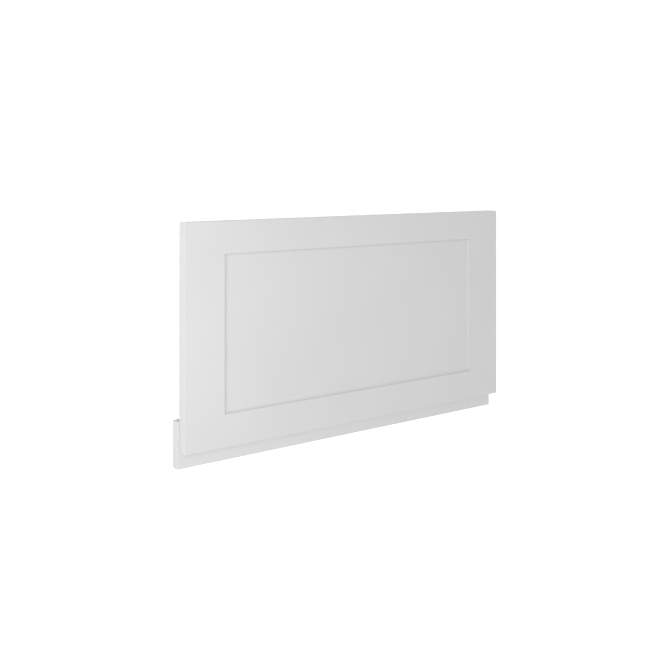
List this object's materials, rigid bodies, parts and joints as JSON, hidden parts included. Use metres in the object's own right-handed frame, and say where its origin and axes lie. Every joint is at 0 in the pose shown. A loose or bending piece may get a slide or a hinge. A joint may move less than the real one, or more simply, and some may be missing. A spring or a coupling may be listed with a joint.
{
  "type": "bath end panel",
  "caption": "White bath end panel: a board with a shallow recessed rectangle, coved along its sides, on its face and a plinth board set back behind its lower edge, to close the end of a fitted bath.",
  "frame": {"origin": "middle of the box around both boards, on the level of the plinth's back face", "axes": "+X along the length, from the end that the plinth overhangs; +Y from the plinth up to the edge under the bath rim; +Z out of the recessed face, so the panel lies on its back"},
  "size_m": [0.804, 0.4536, 0.04],
  "materials": {
    "white_paint": "satin white paint on fibreboard",
    "zinc_plate": "satin zinc plate, on the screws that hold the plinth"
  },
  "bodies": {
    "root": {"panel": "white_paint", "plinth": "white_paint"}
  },
  "joints": []
}
